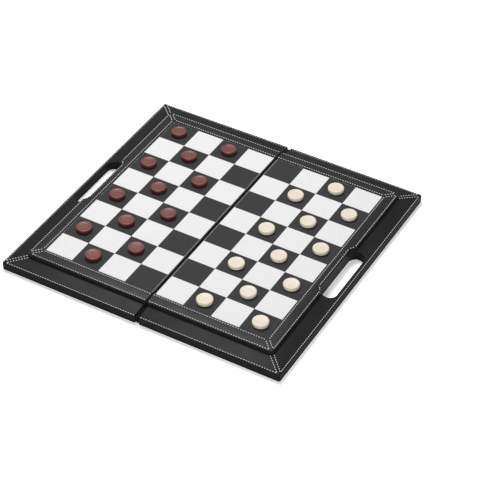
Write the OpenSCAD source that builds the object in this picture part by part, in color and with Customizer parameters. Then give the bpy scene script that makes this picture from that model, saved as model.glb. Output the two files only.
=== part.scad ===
// Folding games case, open flat with its chess side up. Two hollow halves lie side by side on their rims and
// are joined by a leather hinge at the rim plane. Their undersides are the two trays of a backgammon board.
// The origin is on the table under the middle of the hinge. X runs across the hinge, Y along it and Z up.
// Every piece of a half is drawn for the right half, on +X, and the left half is its mirror image.

/* [Chess board] */
// Side of one chess square
square = 47.5; // [36:0.5:56]
// Dark margin between the fold and the first squares
spine_margin = 3.6; // [3:0.1:8]
// Height of the playing surface above the rim plane
play_h = 23; // [20:0.5:40]
// Thickness of the wooden board under the playing sheet
board_t = 3; // [2:0.5:5]
// Thickness of the dark playing sheet
sheet_t = 1; // [0.8:0.1:2]
// Thickness of a light square laid in the sheet
tile_t = 0.5; // [0.2:0.1:0.6]
// Rib of dark sheet left between two light squares that meet at a corner
tile_rib = 0.3; // [0.2:0.1:1]
// Clearance round a light square in its pocket
tile_gap = 0.1; // [0.05:0.05:0.3]

/* [Border strips] */
// Width of the stitched strip round the squares
border_w = 20; // [12:0.5:30]
// How far the strip's inner edge stands above the squares
border_t = 1.6; // [1:0.1:3]
// How far its outer edge stands above them, to which it slopes down
border_edge_t = 0.4; // [0.2:0.1:0.9]
// Thickness of the strip's leather where it is turned down over the step
skirt_t = 0.8; // [0.5:0.1:1.5]
// Set-back of the border strips' ends from the hinge gap
border_setback = 0.4; // [0.1:0.1:1.5]

/* [Bevelled ledge] */
// Width of the sloping ledge outside the border
ledge_w = 27.5; // [20:0.5:40]
// Drop from the playing surface to the inner foot of the ledge
ledge_step = 6.6; // [5:0.1:9]
// Drop of the slope from its foot to the outer edge
ledge_drop = 3.2; // [1:0.1:6]
// Thickness of the ledge's leather
ledge_t = 0.9; // [0.6:0.1:1.5]
// Set-back of the ledge strips' ends from the ends of the rails
ledge_setback = 1.4; // [0.2:0.1:4]
// Radius of the upright corners of each half
corner_r = 2; // [1:0.5:8]

/* [Trays] */
// Thickness of the wall between the tray and the handle slot
handle_web = 6; // [4:0.5:12]
// Thickness of the wall along the fold
spine_wall = 9.6; // [5:0.2:15]
// From the step down to the inner face of the front and back rails
rail_lap = 14; // [6:1:30]

/* [Handle slots] */
// Length of the hand slot
slot_l = 116; // [90:1:150]
// Width of the hand slot
slot_w = 26; // [22:0.5:30]
// Width of the bar left outside the slot
bar_w = 7.5; // [6:0.5:12]
// Length of the slanting ends of the notch beside the slot
notch_run = 9.5; // [5:0.5:15]
// Glue line between the handle rail's two battens and the blocks at the ends of the slot
glue_t = 0.1; // [0.05:0.05:0.3]

/* [Leather hinge] */
// Open gap between the two halves at the fold
hinge_gap = 2; // [1:0.1:3]
// Thickness of the hinge leather
hinge_t = 1; // [0.6:0.1:1.2]
// Clearance between the fold of the leather and the table
hinge_lift = 0.3; // [0.1:0.1:1]

/* [Backgammon side] */
// Thickness of the lining sheet in each tray
field_t = 0.8; // [0.5:0.1:1.5]
// Clearance between the lining and the tray's walls
field_gap = 0.2; // [0.1:0.1:0.5]
// Thickness of a point laid on the lining
point_t = 0.3; // [0.2:0.1:0.6]
// Clear strip between the tips of facing points
point_clear = 56; // [30:1:100]
// Clearance on each side of a point's base
point_gap = 0.3; // [0.1:0.1:1]

/* [Closing magnets] */
// Diameter of a closing magnet
magnet_d = 10; // [6:1:14]
// Thickness of a closing magnet
magnet_t = 3; // [1.5:0.5:5]
// Clearance round a magnet in its bore
magnet_gap = 0.1; // [0.05:0.05:0.3]
// Skin of the rim left below a magnet
magnet_skin = 1.2; // [0.8:0.1:2]

/* [Draughts] */
// Diameter of a draught
draught_d = 26; // [20:0.5:32]
// Thickness of a draught
draught_t = 7; // [5:0.5:10]
// Radius of a draught's rounded edges
draught_r = 2.2; // [0.5:0.1:2.5]
// Flat width of the raised rim on a draught's face
draught_rim = 1; // [0.5:0.1:3]
// Depth of the dished middle of a draught's face
draught_dish = 0.5; // [0.2:0.1:1]

/* [Hidden] */
$fn = 96;
PIECES = 12;
COLUMNS = 4;
ROWS = 8;
POINTS = 6;
ARC_STEPS = 5;
CUT = 1;

HALF_NODES = [
    "front_rail", "back_rail", "handle_rail", "spine_rail", "panel_board", "playing_sheet", "light_squares",
    "front_border", "back_border", "side_border", "front_ledge", "back_ledge", "side_ledge",
    "backgammon_field", "light_points", "dark_points", "magnets"
];
function two(n) = n < 10 ? str("0", n) : str(n);

// Plan of a half: the squares end at field_x and field_y, the step is at step_x and step_y, the rim at half_x, half_y
field_x = spine_margin + COLUMNS * square;
field_y = ROWS * square / 2;
step_x = field_x + border_w;
step_y = field_y + border_w;
half_x = step_x + ledge_w;
half_y = step_y + ledge_w;
core_x = step_x - skirt_t;
core_y = step_y - skirt_t;
rail_x = hinge_gap / 2 + hinge_t;

// Heights above the rim plane
board_top = play_h - sheet_t;
rail_top = board_top - board_t;
border_top = play_h + border_t;
border_edge_z = play_h + border_edge_t;
foot_z = play_h - ledge_step - ledge_t;
edge_z = foot_z - ledge_drop;

// Handle slot and tray
slot_out = half_x - bar_w;
slot_in = slot_out - slot_w;
slot_x = (slot_in + slot_out) / 2;
tray_x0 = rail_x + spine_wall;
tray_x1 = slot_in - handle_web;
tray_y = step_y - rail_lap;
point_pitch = (tray_x1 - tray_x0) / POINTS;
magnet_x = (step_x + half_x) / 2;
magnet_y = (slot_l / 2 + tray_y) / 2;
magnet_bore_d = magnet_d + 2 * magnet_gap;

// Leather hinge: a U whose round bottom joins two flanges
fold_in = hinge_gap / 2;
fold_out = fold_in + hinge_t;
fold_z = fold_out + hinge_lift;
flange_y = half_y - corner_r;

// Ends of the strips at the hinge
border_end = fold_in + border_setback;
ledge_end = rail_x + ledge_setback;

// Section with 2D x along Y, 2D y along Z, drawn from x0 to x1
module along_x(x0, x1) { translate([x0, 0, 0]) rotate([90, 0, 90]) linear_extrude(height = x1 - x0) children(); }

// Section with 2D x along X, 2D y along Z, drawn over the whole depth
module along_y() { rotate([90, 0, 0]) linear_extrude(height = 2 * half_y, center = true) children(); }

// Flat plate of a 2D plan between two heights
module plate(z0, z1) { translate([0, 0, z0]) linear_extrude(height = z1 - z0) children(); }

module mirrored_left() { mirror([1, 0, 0]) children(); }

// Rectangle between two corners
module span(low, high) { translate(low) square(high - low); }

// Outline of a half from x0 outwards, with its upright corners rounded
module half_plan(x0) {
    span([x0, -half_y + corner_r], [half_x, half_y - corner_r]);
    span([x0 + corner_r, -half_y], [half_x - corner_r, half_y]);
    for (x = [x0 + corner_r, half_x - corner_r], y = [-1, 1]) translate([x, y * (half_y - corner_r)]) circle(corner_r);
}

// The hand slot, with full round ends
module slot_plan() {
    span([slot_in, -slot_l / 2 + slot_w / 2], [slot_out, slot_l / 2 - slot_w / 2]);
    for (y = [-1, 1]) translate([slot_x, y * (slot_l - slot_w) / 2]) circle(d = slot_w);
}

// What the raised middle leaves free beside the slot, with its walls moved back by a leather's thickness
module notch_plan(back) {
    corner = back * tan(atan((step_x - slot_in) / notch_run) / 2);
    long = slot_l / 2 + corner;
    straight = long - notch_run;
    polygon([
        [step_x + CUT, -long], [step_x - back, -long], [slot_in - back, -straight],
        [slot_in - back, straight], [step_x - back, long], [step_x + CUT, long]
    ]);
}

// Section across the front and back: raised core, step and sloping ledges
module depth_section(top) {
    polygon([
        [-half_y, 0], [half_y, 0], [half_y, edge_z], [step_y, foot_z], [core_y, foot_z], [core_y, top],
        [-core_y, top], [-core_y, foot_z], [-step_y, foot_z], [-half_y, edge_z]
    ]);
}

// Section across a half from the fold to the handle side
module width_section(top) {
    polygon([
        [rail_x, 0], [half_x, 0], [half_x, edge_z], [step_x, foot_z], [core_x, foot_z], [core_x, top], [rail_x, top]
    ]);
}

// Solid space of a half's rails, before it is shared out among them
module rail_space() {
    intersection() {
        along_x(rail_x, half_x) depth_section(rail_top);
        along_y() width_section(rail_top);
        plate(0, rail_top) half_plan(rail_x);
    }
}

module front_rail() {
    color("#1d1d1f") intersection() {
        rail_space();
        plate(0, rail_top) span([rail_x, -half_y], [half_x, -tray_y]);
    }
}

module back_rail() {
    color("#1d1d1f") intersection() {
        rail_space();
        plate(0, rail_top) span([rail_x, tray_y], [half_x, half_y]);
    }
}

module spine_rail() {
    color("#1d1d1f") plate(0, rail_top) span([rail_x, -tray_y], [tray_x0, tray_y]);
}

// Glued up from a batten on each side of the slot and a block at each end of it
module handle_rail() {
    color("#1d1d1f") difference() {
        intersection() {
            rail_space();
            plate(0, rail_top) span([tray_x1, -tray_y], [half_x, tray_y]);
        }
        plate(-CUT, rail_top + CUT) slot_plan();
        for (x = [slot_in, slot_out - glue_t])
            plate(-CUT, rail_top + CUT) span([x, -half_y], [x + glue_t, half_y]);
        plate(foot_z, rail_top + CUT) notch_plan(skirt_t);
        for (y = [-1, 1]) translate([magnet_x, y * magnet_y, magnet_skin]) cylinder(d = magnet_bore_d, h = play_h);
    }
}

module magnets() {
    color("#b8babd")
    for (y = [-1, 1]) translate([magnet_x, y * magnet_y, magnet_skin]) cylinder(d = magnet_d, h = magnet_t);
}

// The raised middle of a half from x0 outwards, without the notch; back is how far its outer walls are moved in
module middle_plan(x0, back) {
    difference() {
        span([x0, -step_y + back], [step_x - back, step_y - back]);
        notch_plan(back);
    }
}

module panel_board() {
    color("#8a6f4f") plate(rail_top, board_top) middle_plan(rail_x, skirt_t);
}

// Middles of a half's light squares; odd is 1 where the square nearest the fold at the back is dark
module at_light_squares(odd) {
    for (i = [0:COLUMNS - 1], j = [0:ROWS - 1]) if ((i + j) % 2 == odd)
        translate([spine_margin + (i + 0.5) * square, field_y - (j + 0.5) * square]) children();
}

module playing_sheet(odd) {
    color("#3a3a3c") difference() {
        plate(board_top, play_h) middle_plan(fold_in, skirt_t);
        plate(play_h - tile_t, play_h + CUT) at_light_squares(odd) square(square - tile_rib, center = true);
    }
}

module light_squares(odd) {
    color("#ececec") plate(play_h - tile_t, play_h)
        at_light_squares(odd) square(square - tile_rib - 2 * tile_gap, center = true);
}

// One mitred strip along the front: the ring from inner to outer corner, starting at x0
module mitred_plan(x0, inner, outer) {
    polygon([[x0, -outer.y], [outer.x, -outer.y], [inner.x, -inner.y], [x0, -inner.y]]);
}

// Space of the border strips: highest round the squares, and sloping down to the step
module border_space() {
    intersection() {
        plate(foot_z, border_top) middle_plan(border_end, 0);
        along_x(border_end, step_x) polygon([
            [-step_y, foot_z], [step_y, foot_z], [step_y, border_edge_z], [field_y, border_top],
            [-field_y, border_top], [-step_y, border_edge_z]
        ]);
        along_y() polygon([
            [border_end, foot_z], [step_x, foot_z], [step_x, border_edge_z], [field_x, border_top],
            [border_end, border_top]
        ]);
    }
}

// All the border leather of a half: a strip round the squares, turned down over the step to the ledge
module border_leather() {
    difference() {
        border_space();
        plate(foot_z - CUT, play_h) middle_plan(0, skirt_t);
        plate(foot_z - CUT, border_top + CUT) span([0, -field_y], [field_x, field_y]);
    }
}

module front_border() {
    color("#2b2b2d") intersection() {
        border_leather();
        plate(0, border_top) mitred_plan(border_end, [field_x, field_y], [step_x, step_y]);
    }
}

module back_border() { mirror([0, 1, 0]) front_border(); }

module side_border() {
    color("#2b2b2d") intersection() {
        border_leather();
        plate(0, border_top)
            polygon([[step_x, -step_y], [step_x, step_y], [field_x, field_y], [field_x, -field_y]]);
    }
}

module front_ledge() {
    color("#242426") intersection() {
        along_x(ledge_end, half_x) polygon([
            [-half_y, edge_z], [-step_y, foot_z], [-step_y, foot_z + ledge_t], [-half_y, edge_z + ledge_t]
        ]);
        plate(0, play_h) mitred_plan(ledge_end, [step_x, step_y], [half_x, half_y]);
        plate(0, play_h) half_plan(rail_x);
    }
}

module back_ledge() { mirror([0, 1, 0]) front_ledge(); }

module side_ledge() {
    color("#242426") difference() {
        intersection() {
            along_y() polygon([
                [half_x, edge_z], [step_x, foot_z], [step_x, foot_z + ledge_t], [half_x, edge_z + ledge_t]
            ]);
            plate(0, play_h) polygon([[half_x, -half_y], [half_x, half_y], [step_x, step_y], [step_x, -step_y]]);
            plate(0, play_h) half_plan(rail_x);
        }
        plate(-CUT, play_h) slot_plan();
    }
}

module backgammon_field() {
    color("#2e2e30") plate(rail_top - field_t, rail_top) span(
        [tray_x0 + field_gap, -tray_y + field_gap], [tray_x1 - field_gap, tray_y - field_gap]);
}

// Six long triangles from the front wall and six from the back wall; odd picks every other one
module points(odd) {
    base = point_pitch / 2 - point_gap;
    for (k = [0:POINTS - 1], y = [-1, 1]) if ((k + (y + 1) / 2) % 2 == odd)
        translate([tray_x0 + (k + 0.5) * point_pitch, 0]) polygon([
            [-base, y * (tray_y - field_gap)], [base, y * (tray_y - field_gap)], [0, y * point_clear / 2]
        ]);
}

module light_points() { color("#e2e2e0") plate(rail_top - field_t - point_t, rail_top - field_t) points(0); }

module dark_points() { color("#7c2f24") plate(rail_top - field_t - point_t, rail_top - field_t) points(1); }

// A U filled solid: a round bottom of radius r under a straight stretch
module filled_u(r, top) {
    translate([0, fold_z]) circle(r);
    span([-r, fold_z], [r, top]);
}

// The hinge leather, glued to the facing spine walls of both halves and folded at the bottom of the gap
module spine_hinge() {
    color("#161617") intersection() {
        rotate([90, 0, 0]) linear_extrude(height = 2 * flange_y, center = true) difference() {
            filled_u(fold_out, board_top);
            filled_u(fold_in, board_top + CUT);
        }
        along_x(-fold_out, fold_out) depth_section(board_top);
    }
}

// Points of a quarter circle of radius r about a centre, from one angle to the next
function arc(centre, r, from, to) =
    [for (s = [0:ARC_STEPS]) centre + r * [cos(from + s * (to - from) / ARC_STEPS), sin(from + s * (to - from) / ARC_STEPS)]];

// A turned draught: rounded edges, a raised rim and a dished middle
module draught() {
    r = draught_d / 2;
    rim = r - draught_r - draught_rim;
    rotate_extrude() polygon(concat(
        [[0, 0]],
        arc([r - draught_r, draught_r], draught_r, -90, 0),
        arc([r - draught_r, draught_t - draught_r], draught_r, 0, 90),
        [[rim, draught_t], [rim - draught_dish, draught_t - draught_dish], [0, draught_t - draught_dish]]
    ));
}

// The k-th draught of a half on its dark squares, in the three columns furthest from the fold
module on_square(k, odd) {
    column = 1 + floor(k / 4);
    row = 2 * (k % 4) + (column + odd) % 2;
    translate([spine_margin + (column + 0.5) * square, field_y - (row + 0.5) * square, play_h]) children();
}

module brown_draught(k) { color("#7a3b30") mirrored_left() on_square(k, 1) draught(); }

module cream_draught(k) { color("#efe5d3") on_square(k, 0) draught(); }

spine_hinge();

mirrored_left() front_rail();  // left_front_rail
mirrored_left() back_rail();  // left_back_rail
mirrored_left() handle_rail();  // left_handle_rail
mirrored_left() spine_rail();  // left_spine_rail
mirrored_left() panel_board();  // left_panel_board
mirrored_left() playing_sheet(0);  // left_playing_sheet
mirrored_left() light_squares(0);  // left_light_squares
mirrored_left() front_border();  // left_front_border
mirrored_left() back_border();  // left_back_border
mirrored_left() side_border();  // left_side_border
mirrored_left() front_ledge();  // left_front_ledge
mirrored_left() back_ledge();  // left_back_ledge
mirrored_left() side_ledge();  // left_side_ledge
mirrored_left() backgammon_field();  // left_backgammon_field
mirrored_left() light_points();  // left_light_points
mirrored_left() dark_points();  // left_dark_points
mirrored_left() magnets();  // left_magnets

front_rail();  // right_front_rail
back_rail();  // right_back_rail
handle_rail();  // right_handle_rail
spine_rail();  // right_spine_rail
panel_board();  // right_panel_board
playing_sheet(1);  // right_playing_sheet
light_squares(1);  // right_light_squares
front_border();  // right_front_border
back_border();  // right_back_border
side_border();  // right_side_border
front_ledge();  // right_front_ledge
back_ledge();  // right_back_ledge
side_ledge();  // right_side_ledge
backgammon_field();  // right_backgammon_field
light_points();  // right_light_points
dark_points();  // right_dark_points
magnets();  // right_magnets

for (k = [0:PIECES - 1]) {
    brown_draught(k);
    cream_draught(k);
}
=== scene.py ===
"""A folding leatherette games case, open flat with its draughts set out, dressed round its fixed frame.

All sizes are in metres, in the frame's own axes: X across the fold, Y along it and Z up from the table.
Every form of a half is drawn for the right half, on +X, and the left half gets its mirror image.
"""

import logging
import math
import random
from collections.abc import Callable, Sequence
from dataclasses import dataclass
from enum import Enum

import bmesh
import bpy
from mathutils import Matrix, Vector


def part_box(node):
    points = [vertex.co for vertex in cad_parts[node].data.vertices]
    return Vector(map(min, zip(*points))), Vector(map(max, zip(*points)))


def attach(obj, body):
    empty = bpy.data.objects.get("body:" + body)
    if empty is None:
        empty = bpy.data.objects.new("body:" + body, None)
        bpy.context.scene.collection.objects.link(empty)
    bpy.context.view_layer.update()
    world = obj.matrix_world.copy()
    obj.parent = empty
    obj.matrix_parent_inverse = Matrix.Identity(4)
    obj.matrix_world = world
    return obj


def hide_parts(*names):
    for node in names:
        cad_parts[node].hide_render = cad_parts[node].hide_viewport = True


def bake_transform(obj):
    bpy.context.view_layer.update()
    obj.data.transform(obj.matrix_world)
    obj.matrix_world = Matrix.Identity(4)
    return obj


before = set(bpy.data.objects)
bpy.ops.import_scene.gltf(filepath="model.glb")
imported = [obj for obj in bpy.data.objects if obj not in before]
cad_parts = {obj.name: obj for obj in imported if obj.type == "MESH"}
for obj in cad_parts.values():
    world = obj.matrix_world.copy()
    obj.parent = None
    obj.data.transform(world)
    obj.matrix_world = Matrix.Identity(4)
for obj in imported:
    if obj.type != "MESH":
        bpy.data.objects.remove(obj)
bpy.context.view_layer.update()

MM = 0.001
HAIR = 0.01 * MM             # two places closer than this count as one
NEAR = 0.1 * MM              # the slack in picking faces and edges by their place
MERGE_WITHIN = 0.002 * MM
SQUARE_ON = 0.9              # a normal's share along an axis, above which a face is square to it
WALL_BELOW = 0.1             # a normal's share along Z, below which a face is a wall
log = logging.getLogger("games_case")

Point = Sequence[float]
Spot = tuple[float, float]
Piece = bpy.types.Object
Socket = bpy.types.NodeSocket
MeshPart = bmesh.types.BMFace | bmesh.types.BMEdge
FaceTest = Callable[[Vector, Vector], bool]             # takes a face's middle and its normal
EdgeTest = Callable[[Vector, list[Vector]], bool]       # takes an edge's middle and its faces' normals


# ---------------------------------------------------------------------------------------------- the bench


class Carving(Enum):
    """What a cutting tool leaves of the piece that it meets."""

    AWAY = "DIFFERENCE"
    SHARED = "INTERSECT"


class Axis(Enum):
    """An axis of the frame, by its place in a coordinate."""

    X = 0
    Y = 1
    Z = 2


def is_wall(normal: Vector) -> bool:
    """Whether a face stands upright."""
    return abs(normal.z) < WALL_BELOW


def is_post(normals: list[Vector]) -> bool:
    """Whether an edge stands upright, between two walls."""
    return is_wall(normals[0]) and is_wall(normals[1])


def is_brim(normals: list[Vector]) -> bool:
    """Whether an edge lies between a wall and a top."""
    return is_wall(normals[0]) and normals[1].z > SQUARE_ON


def put_all_down() -> None:
    """Leaves edit mode and deselects every object."""
    if bpy.context.mode != "OBJECT":
        bpy.ops.object.mode_set(mode="OBJECT")
    bpy.ops.object.select_all(action="DESELECT")


def take_up(piece: Piece) -> None:
    """Selects one piece alone and makes it the active one.

    Args:
        piece: The piece to select.
    """
    put_all_down()
    piece.select_set(True)
    bpy.context.view_layer.objects.active = piece


def open_up(piece: Piece, faces: bool = True, whole: bool = False) -> bmesh.types.BMesh:
    """Opens a piece in edit mode.

    Args:
        piece: The piece to edit.
        faces: True to select by faces, False to select by edges.
        whole: True to have all of it selected, False for nothing.

    Returns:
        The piece's edit mesh.
    """
    take_up(piece)
    bpy.ops.object.mode_set(mode="EDIT")
    bpy.context.tool_settings.mesh_select_mode = (False, not faces, faces)
    bpy.ops.mesh.select_all(action="SELECT" if whole else "DESELECT")
    return bmesh.from_edit_mesh(piece.data)


def close_up() -> None:
    """Goes back to object mode."""
    bpy.ops.object.mode_set(mode="OBJECT")


def pick(piece: Piece, wanted: Callable[[MeshPart], bool], faces: bool) -> bool:
    """Opens a piece with the faces or edges selected that pass a test.

    Args:
        piece: The piece to edit.
        wanted: Says of a face or an edge whether it is wanted.
        faces: True to pick faces, False to pick edges.

    Returns:
        True where anything passed.
    """
    mesh = open_up(piece, faces)
    picked = [part for part in (mesh.faces if faces else mesh.edges) if wanted(part)]
    for part in picked:
        part.select_set(True)
    bmesh.update_edit_mesh(piece.data)
    return bool(picked)


def middle_of(edge: bmesh.types.BMEdge) -> Vector:
    """The middle of an edge."""
    return (edge.verts[0].co + edge.verts[1].co) / 2


def pick_faces(piece: Piece, wanted: FaceTest) -> None:
    """Opens a piece with the faces selected whose middle and normal pass a test."""
    pick(piece, lambda face: wanted(face.calc_center_median(), face.normal), faces=True)


def pick_edges(piece: Piece, wanted: EdgeTest) -> bool:
    """Opens a piece with the edges selected whose middle and faces' normals pass a test.

    Args:
        piece: The piece to edit.
        wanted: Takes an edge's middle and the normals of its two faces, the lower one first.

    Returns:
        True where any edge passed.
    """
    def passes(edge: bmesh.types.BMEdge) -> bool:
        """Whether an edge lies between two faces and is wanted."""
        normals = sorted((face.normal for face in edge.link_faces), key=lambda n: n.z)
        return len(normals) == 2 and wanted(middle_of(edge), normals)

    return pick(piece, passes, faces=False)


def fix_in_place(piece: Piece) -> None:
    """Puts a piece's place, turn and scale into its mesh, so that its origin is the world's."""
    take_up(piece)
    bpy.ops.object.transform_apply(location=True, rotation=True, scale=True)


def block(name: str, low: Point, high: Point) -> Piece:
    """A plain block, as a start for other shapes.

    Args:
        name: The new piece's name.
        low: Its lowest corner.
        high: Its highest corner.

    Returns:
        The block.
    """
    put_all_down()
    bpy.ops.mesh.primitive_cube_add(size=1, location=[(a + b) / 2 for a, b in zip(low, high)])
    piece = bpy.context.object
    piece.name = piece.data.name = name
    piece.scale = [b - a for a, b in zip(low, high)]
    fix_in_place(piece)
    return piece


def round_bar(name: str, centre: Point, radius: float, length: float, sides: int,
              along: Axis = Axis.Z) -> Piece:
    """A round bar about its centre, as a start for other shapes.

    Args:
        name: The new piece's name.
        centre: The middle of the bar.
        radius: Its radius.
        length: Its length.
        sides: How many flats go round it.
        along: The axis that it lies along.

    Returns:
        The bar, turned by half a flat so that it is the same either way about X and Y.
    """
    put_all_down()
    bpy.ops.mesh.primitive_cylinder_add(vertices=sides, radius=radius, depth=length)
    piece = bpy.context.object
    piece.name = piece.data.name = name
    piece.rotation_euler.z = math.pi / sides
    fix_in_place(piece)
    if along is Axis.X:
        piece.rotation_euler.y = math.pi / 2
    elif along is Axis.Y:
        piece.rotation_euler.x = math.pi / 2
    piece.location = centre
    fix_in_place(piece)
    return piece


def copy_of(piece: Piece, name: str) -> Piece:
    """A copy of a piece with its own mesh.

    Args:
        piece: The piece to copy.
        name: The copy's name.

    Returns:
        The copy.
    """
    twin = piece.copy()
    twin.data = piece.data.copy()
    twin.name = twin.data.name = name
    bpy.context.scene.collection.objects.link(twin)
    return twin


def throw_away(*pieces: Piece) -> None:
    """Removes shapes that only helped to make others."""
    for piece in pieces:
        bpy.data.objects.remove(piece, do_unlink=True)


def carve(piece: Piece, tool: Piece, how: Carving = Carving.AWAY) -> None:
    """Cuts a piece with a tool, and then throws the tool away.

    Args:
        piece: The piece to cut.
        tool: The closed shape that cuts it.
        how: What is left of the piece.
    """
    take_up(piece)
    cut = piece.modifiers.new("carving", "BOOLEAN")
    cut.operation = how.value
    cut.solver = "EXACT"
    cut.object = tool
    bpy.ops.object.modifier_apply(modifier=cut.name)
    throw_away(tool)


def saw(piece: Piece, at: Point, away: Point, capped: bool = True) -> None:
    """Saws a piece along a plane and drops one side.

    Args:
        piece: The piece to saw.
        at: A point on the plane.
        away: The direction, square to the plane, of the side that goes.
        capped: True to close the cut with a face.
    """
    open_up(piece, whole=True)
    bpy.ops.mesh.bisect(plane_co=at, plane_no=Vector(away).normalized(), use_fill=capped, clear_outer=True)
    close_up()


def round_over(piece: Piece, wanted: EdgeTest, radius: float, steps: int) -> None:
    """Rounds the edges that pass a test.

    Args:
        piece: The piece to round.
        wanted: The test, as for pick_edges.
        radius: How far the rounding reaches from the edge.
        steps: How many flats it has.
    """
    if pick_edges(piece, wanted):
        bpy.ops.mesh.bevel(offset=radius, offset_type="OFFSET", segments=steps, affect="EDGES",
                           clamp_overlap=False)
    close_up()


def strip_off(piece: Piece, wanted: FaceTest) -> None:
    """Deletes the faces whose middle and normal pass a test.

    Args:
        piece: The piece to open.
        wanted: The test, as for pick_faces.
    """
    pick_faces(piece, wanted)
    bpy.ops.mesh.delete(type="FACE")
    close_up()


@dataclass(frozen=True)
class Padding:
    """Leather drawn down along a seam line inside each edge of a face, and puffed up within it."""

    seam: float
    dip: float = 0.12 * MM
    swell: float = 2.4 * MM
    rise: float = 0.36 * MM
    early_rise: float = 0.6      # the share of the rise in the swell's first half

    def apply(self, piece: Piece, wanted: FaceTest) -> None:
        """Pads each face that passes a test.

        Args:
            piece: The piece to pad.
            wanted: The test, as for pick_faces.
        """
        half, early = self.swell / 2, self.early_rise * self.rise
        pick_faces(piece, wanted)
        for width, depth in ((self.seam, -self.dip), (half, early), (half, self.rise - early)):
            bpy.ops.mesh.inset(thickness=width, depth=depth, use_individual=True, use_even_offset=True)
        close_up()


def merge_and_turn_out(piece: Piece) -> None:
    """Merges a piece's doubled points and points its faces outwards.

    Args:
        piece: The piece to mend.
    """
    open_up(piece, whole=True)
    bpy.ops.mesh.remove_doubles(threshold=MERGE_WITHIN)
    bpy.ops.mesh.normals_make_consistent(inside=False)
    close_up()


def tidy_skin(piece: Piece) -> None:
    """Merges an open skin's doubled points and turns its tops upwards.

    Args:
        piece: The skin to mend.
    """
    merge_and_turn_out(piece)
    if sum(face.normal.z * face.area for face in piece.data.polygons) < 0:
        open_up(piece, whole=True)
        bpy.ops.mesh.flip_normals()
        close_up()


def mirrored(piece: Piece, name: str, axis: Axis, skin: bool = False) -> Piece:
    """The mirror image of a piece across the plane through the origin that is square to an axis.

    Args:
        piece: The piece to mirror.
        name: The new piece's name.
        axis: The axis that changes sign.
        skin: True for an open skin, whose tops have to end up facing upwards.

    Returns:
        The mirrored piece, with its faces pointing outwards.
    """
    twin = copy_of(piece, name)
    twin.scale[axis.value] = -1
    fix_in_place(twin)
    if skin:
        tidy_skin(twin)
    else:
        merge_and_turn_out(twin)
    return twin


def thicken(piece: Piece, thickness: float) -> None:
    """Gives an open skin its thickness, inwards from its outer face.

    Args:
        piece: The skin.
        thickness: How thick it gets.
    """
    take_up(piece)
    wall = piece.modifiers.new("thickness", "SOLIDIFY")
    wall.thickness = thickness
    wall.offset = -1
    wall.use_quality_normals = True
    bpy.ops.object.modifier_apply(modifier=wall.name)


def joined(name: str, pieces: list[Piece]) -> Piece:
    """Joins pieces into one that has its origin at the world's.

    Args:
        name: The whole's name.
        pieces: Two or more pieces that have their origin there too.

    Returns:
        The whole.
    """
    take_up(pieces[0])
    for piece in pieces:
        piece.select_set(True)
    bpy.ops.object.join()
    whole = bpy.context.view_layer.objects.active
    whole.name = whole.data.name = name
    return whole


def smooth(piece: Piece, below: float = math.radians(32)) -> None:
    """Shades a piece smooth, apart from edges sharper than an angle."""
    take_up(piece)
    bpy.ops.object.shade_smooth_by_angle(angle=below)


def report(piece: Piece) -> None:
    """Logs a finished piece and its number of faces."""
    log.info("%-32s %6d faces", piece.name, len(piece.data.polygons))


# ------------------------------------------------------------------------------------------- the finishes


class Blend(Enum):
    """How one colour is laid over another."""

    SHIFT = "LINEAR_LIGHT"
    DARKEN = "MULTIPLY"
    TINT = "SOFT_LIGHT"


class NodeBench:
    """A node tree under construction: it adds nodes and joins them."""

    def __init__(self, owner: bpy.types.Material | bpy.types.World) -> None:
        """Empties the node tree of a material or of the world.

        Args:
            owner: The material or the world.
        """
        owner.use_nodes = True
        self.tree = owner.node_tree
        self.tree.nodes.clear()

    def add(self, kind: str, **values: object) -> bpy.types.Node:
        """Adds a node.

        Args:
            kind: The node's type.
            values: Its properties, in lower case, and its inputs, with underscores for spaces.

        Returns:
            The node.
        """
        node = self.tree.nodes.new(kind)
        for key, value in values.items():
            if key.islower() and hasattr(node, key):
                setattr(node, key, value)
            else:
                node.inputs[key.replace("_", " ")].default_value = value
        return node

    def join(self, source: Socket, target: Socket) -> None:
        """Links an output to an input."""
        self.tree.links.new(source, target)

    def greater(self, one: Socket, other: Socket | float) -> Socket:
        """The greater of an output and of another output or a number.

        Args:
            one: The first output.
            other: The second output, or a number.

        Returns:
            The output that gives the greater one.
        """
        node = self.add("ShaderNodeMath", operation="MAXIMUM")
        self.join(one, node.inputs[0])
        if isinstance(other, float):
            node.inputs[1].default_value = other
        else:
            self.join(other, node.inputs[1])
        return node.outputs[0]

    def either(self, share: Socket, first: Socket, second: Socket) -> Socket:
        """Mixes two shaders.

        Args:
            share: How much of the second one shows.
            first: The shader that shows at 0.
            second: The shader that shows at 1.

        Returns:
            The mixed shader.
        """
        node = self.add("ShaderNodeMixShader")
        for source, target in zip((share, first, second), node.inputs):
            self.join(source, target)
        return node.outputs[0]


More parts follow.
